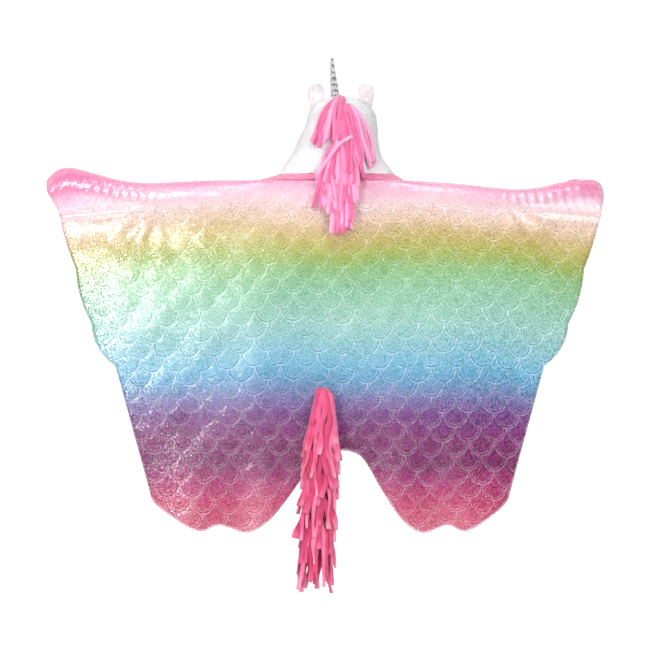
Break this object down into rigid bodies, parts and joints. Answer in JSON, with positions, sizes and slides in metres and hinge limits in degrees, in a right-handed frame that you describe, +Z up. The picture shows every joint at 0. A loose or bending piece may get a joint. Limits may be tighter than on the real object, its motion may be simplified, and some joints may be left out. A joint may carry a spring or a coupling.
{
  "type": "hooded dress-up cape",
  "caption": "Wearable child's cape with scalloped rainbow wings, a plush unicorn hood with ears, a spiral horn and a fringe mane, hand pockets and a fringe tail.",
  "frame": {"origin": "centre-back neck point, on the seam between cape and yoke", "axes": "+X right as seen from behind, +Y the way the wearer faces, +Z up"},
  "size_m": [1.2042, 0.2212, 1.1394],
  "materials": {
    "foil_plush": "rainbow ombre plush with an embossed scale pattern in clear foil",
    "cape_lining": "short pink fleece",
    "yoke_fleece": "pink plush",
    "hood_plush": "white short-pile plush",
    "hood_lining": "white fleece",
    "hood_binding": "white plush binding",
    "ear_lining": "pale pink fleece",
    "eye_stitching": "satin stitch",
    "horn_foil": "silver metallised cloth",
    "stuffing": "polyester wadding",
    "hook_and_loop": "white hook and loop",
    "fringe_fleece": "pink fleece cut into strips"
  },
  "bodies": {
    "cape_back": {"cape_back_centre": "foil_plush", "cape_lining_centre": "cape_lining", "neck_yoke_outer": "yoke_fleece", "neck_yoke_lining": "cape_lining", "throat_loop_patch": "hook_and_loop", "tail_patch": "fringe_fleece"},
    "left_wing": {"left_wing_outer": "foil_plush", "left_wing_lining": "cape_lining", "left_hand_pocket": "cape_lining"},
    "right_wing": {"right_wing_outer": "foil_plush", "right_wing_lining": "cape_lining", "right_hand_pocket": "cape_lining"},
    "hood": {"hood_left_outer": "hood_plush", "hood_right_outer": "hood_plush", "hood_left_lining": "hood_lining", "hood_right_lining": "hood_lining", "hood_face_binding": "hood_binding", "left_eye": "eye_stitching", "right_eye": "eye_stitching", "mane_tape": "fringe_fleece"},
    "left_ear": {"left_ear_outer": "hood_plush", "left_ear_lining": "ear_lining"},
    "right_ear": {"right_ear_outer": "hood_plush", "right_ear_lining": "ear_lining"},
    "horn": {"horn_cover": "horn_foil", "horn_stuffing": "stuffing"},
    "throat_tab": {"throat_tab": "yoke_fleece", "throat_hook_patch": "hook_and_loop"},
    "mane_row_1": {"mane_row_1": "fringe_fleece"},
    "mane_row_2": {"mane_row_2": "fringe_fleece"},
    "mane_row_3": {"mane_row_3": "fringe_fleece"},
    "mane_row_4": {"mane_row_4": "fringe_fleece"},
    "mane_row_5": {"mane_row_5": "fringe_fleece"},
    "mane_row_6": {"mane_row_6": "fringe_fleece"},
    "tail_neck": {"tail_neck": "fringe_fleece"},
    "tail": {"tail_core": "fringe_fleece", "tail_row_1": "fringe_fleece", "tail_row_2": "fringe_fleece", "tail_row_3": "fringe_fleece", "tail_row_4": "fringe_fleece", "tail_row_5": "fringe_fleece", "tail_row_6": "fringe_fleece"}
  },
  "joints": [
    {"name": "left_wing_wrap", "type": "hinge", "parent": "cape_back", "child": "left_wing", "pos_m": [-0.175, -0.0086, 0], "axis": [0, 0, -1], "range_deg": [-10, 90]},
    {"name": "right_wing_wrap", "type": "hinge", "parent": "cape_back", "child": "right_wing", "pos_m": [0.175, -0.0086, 0], "axis": [0, 0, 1], "range_deg": [-10, 90]},
    {"name": "hood_fold", "type": "hinge", "parent": "cape_back", "child": "hood", "pos_m": [0.018, -0.012, 0.014], "axis": [1, 0, 0], "range_deg": [0, 80]},
    {"name": "left_ear_flop", "type": "hinge", "parent": "hood", "child": "left_ear", "pos_m": [-0.026, 0.064, 0.16], "axis": [1, 0, 0], "range_deg": [-15, 15], "stiffness_Nm_per_rad": 0.02},
    {"name": "right_ear_flop", "type": "hinge", "parent": "hood", "child": "right_ear", "pos_m": [0.074, 0.064, 0.16], "axis": [1, 0, 0], "range_deg": [-15, 15], "stiffness_Nm_per_rad": 0.02},
    {"name": "horn_bend", "type": "hinge", "parent": "hood", "child": "horn", "pos_m": [0.012, 0.092, 0.176], "axis": [1, 0, 0], "range_deg": [-12, 12], "stiffness_Nm_per_rad": 0.05},
    {"name": "throat_tab_open", "type": "hinge", "parent": "cape_back", "child": "throat_tab", "pos_m": [-0.005, 0.13, 0.0068], "axis": [0, 0, 1], "range_deg": [0, 110]},
    {"name": "tail_sway", "type": "hinge", "parent": "cape_back", "child": "tail_neck", "pos_m": [-0.017, -0.01657, -0.456], "axis": [0, 1, 0], "range_deg": [-15, 15]},
    {"name": "tail_lift", "type": "hinge", "parent": "tail_neck", "child": "tail", "pos_m": [-0.017, -0.02857, -0.456], "axis": [-1, 0, 0], "range_deg": [0, 75]},
    {"name": "mane_row_1_hang", "type": "hinge", "parent": "hood", "child": "mane_row_1", "pos_m": [0.018, 0.01872, 0.18], "axis": [1, 0, 0], "range_deg": [-80, 0]},
    {"name": "mane_row_2_hang", "type": "hinge", "parent": "hood", "child": "mane_row_2", "pos_m": [0.018, -0.01455, 0.154], "axis": [1, 0, 0], "range_deg": [-80, 0]},
    {"name": "mane_row_3_hang", "type": "hinge", "parent": "hood", "child": "mane_row_3", "pos_m": [0.018, -0.03095, 0.125], "axis": [1, 0, 0], "range_deg": [-80, 0]},
    {"name": "mane_row_4_hang", "type": "hinge", "parent": "hood", "child": "mane_row_4", "pos_m": [0.018, -0.03526, 0.095], "axis": [1, 0, 0], "range_deg": [-80, 0]},
    {"name": "mane_row_5_hang", "type": "hinge", "parent": "hood", "child": "mane_row_5", "pos_m": [0.018, -0.03195, 0.064], "axis": [1, 0, 0], "range_deg": [-80, 0]},
    {"name": "mane_row_6_hang", "type": "hinge", "parent": "hood", "child": "mane_row_6", "pos_m": [0.018, -0.02285, 0.033], "axis": [1, 0, 0], "range_deg": [-80, 0]}
  ],
  "couplings": [
    {"joint": "mane_row_1_hang", "follows": "hood_fold", "ratio": -1},
    {"joint": "mane_row_2_hang", "follows": "hood_fold", "ratio": -1},
    {"joint": "mane_row_3_hang", "follows": "hood_fold", "ratio": -1},
    {"joint": "mane_row_4_hang", "follows": "hood_fold", "ratio": -1},
    {"joint": "mane_row_5_hang", "follows": "hood_fold", "ratio": -1},
    {"joint": "mane_row_6_hang", "follows": "hood_fold", "ratio": -1}
  ]
}
